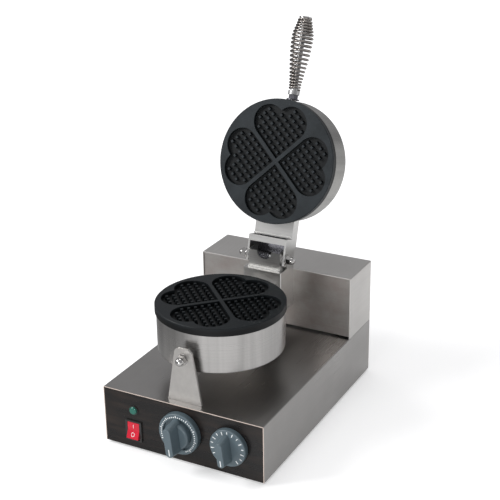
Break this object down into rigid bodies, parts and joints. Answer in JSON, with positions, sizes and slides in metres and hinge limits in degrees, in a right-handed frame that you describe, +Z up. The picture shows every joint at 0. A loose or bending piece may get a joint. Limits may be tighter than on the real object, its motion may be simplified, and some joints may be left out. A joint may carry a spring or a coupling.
{
  "type": "heart waffle maker",
  "caption": "Bench-top heart waffle iron, lid open, with a coil handle, timer and thermostat dials.",
  "frame": {"origin": "centre of the whole object's footprint box, with the lid open, on the surface its feet stand on", "axes": "+Z up, -Y towards the user and the control panel, +X to the user's right"},
  "size_m": [0.25, 0.433, 0.5464],
  "materials": {
    "cabinet_steel": "satin brushed stainless sheet",
    "drum_steel": "turned stainless, fine rings round the drum",
    "plain_steel": "plain machined steel",
    "bright_steel": "polished fasteners and wire",
    "spring_steel": "dark oiled steel",
    "cast_plate": "matt dark coating on a casting",
    "black_film": "semi-gloss dark film",
    "knob_plastic": "slate blue-grey moulding with white marks",
    "rocker_red": "glossy red moulding",
    "black_plastic": "black moulding",
    "lamp_green": "green lens",
    "foot_rubber": "black rubber",
    "ceramic": "glazed ceramic",
    "ceramic_fibre": "soft white fibre"
  },
  "bodies": {
    "cabinet": {"base_shell": "cabinet_steel", "bottom_plate": "plain_steel", "bottom_screws": "bright_steel", "cable_gland": "black_plastic", "earth_stud": "bright_steel", "feet": "foot_rubber", "foot_screws": "bright_steel", "front_overlay": "black_film", "front_panel": "plain_steel", "front_stay": "cabinet_steel", "gland_nut": "black_plastic", "hinge_bracket": "cabinet_steel", "hinge_nuts": "bright_steel", "hinge_pin": "plain_steel", "hinge_sleeve": "plain_steel", "hinge_spring": "spring_steel", "hinge_washers": "bright_steel", "lamp_body": "black_plastic", "lamp_lens": "lamp_green", "lower_arm": "cabinet_steel", "lower_clamp": "plain_steel", "lower_drum": "drum_steel", "lower_heater": "spring_steel", "lower_insulation": "ceramic_fibre", "lower_plate": "cast_plate", "lower_plate_screws": "bright_steel", "post": "cabinet_steel", "post_screws": "bright_steel", "rear_cover": "cabinet_steel", "rear_front_panel": "cabinet_steel", "rear_screws": "bright_steel", "rocker_housing": "black_plastic", "stay_bolt": "bright_steel", "stay_nut": "bright_steel", "stay_spacer": "plain_steel", "terminal_block": "ceramic", "thermostat_body": "black_plastic", "thermostat_bulb": "plain_steel", "timer_body": "black_plastic"},
    "lid": {"upper_plate": "cast_plate", "upper_heater": "spring_steel", "upper_clamp": "plain_steel", "upper_plate_screws": "bright_steel", "upper_drum": "drum_steel", "upper_insulation": "ceramic_fibre", "lid_arm": "cabinet_steel", "lid_arm_cover": "cabinet_steel", "handle_rod": "plain_steel", "handle_nut": "spring_steel", "handle_lock_nut": "bright_steel", "handle_collar": "plain_steel", "handle_coil": "bright_steel", "handle_end": "bright_steel"},
    "timer_dial": {"timer_knob": "knob_plastic"},
    "thermostat_dial": {"thermostat_knob": "knob_plastic"},
    "switch_rocker": {"rocker": "rocker_red"}
  },
  "joints": [
    {"name": "lid_hinge", "type": "hinge", "parent": "cabinet", "child": "lid", "pos_m": [0, 0.07596, 0.21], "axis": [1, 0, 0], "range_deg": [0, 106.5]},
    {"name": "timer_turn", "type": "hinge", "parent": "cabinet", "child": "timer_dial", "pos_m": [0, -0.18054, 0.05], "axis": [0, 1, 0], "range_deg": [0, 300]},
    {"name": "thermostat_turn", "type": "hinge", "parent": "cabinet", "child": "thermostat_dial", "pos_m": [0.075, -0.18054, 0.0485], "axis": [0, 1, 0], "range_deg": [0, 280]},
    {"name": "switch_tilt", "type": "hinge", "parent": "cabinet", "child": "switch_rocker", "pos_m": [-0.077, -0.17804, 0.031], "axis": [1, 0, 0], "range_deg": [0, 22]}
  ]
}
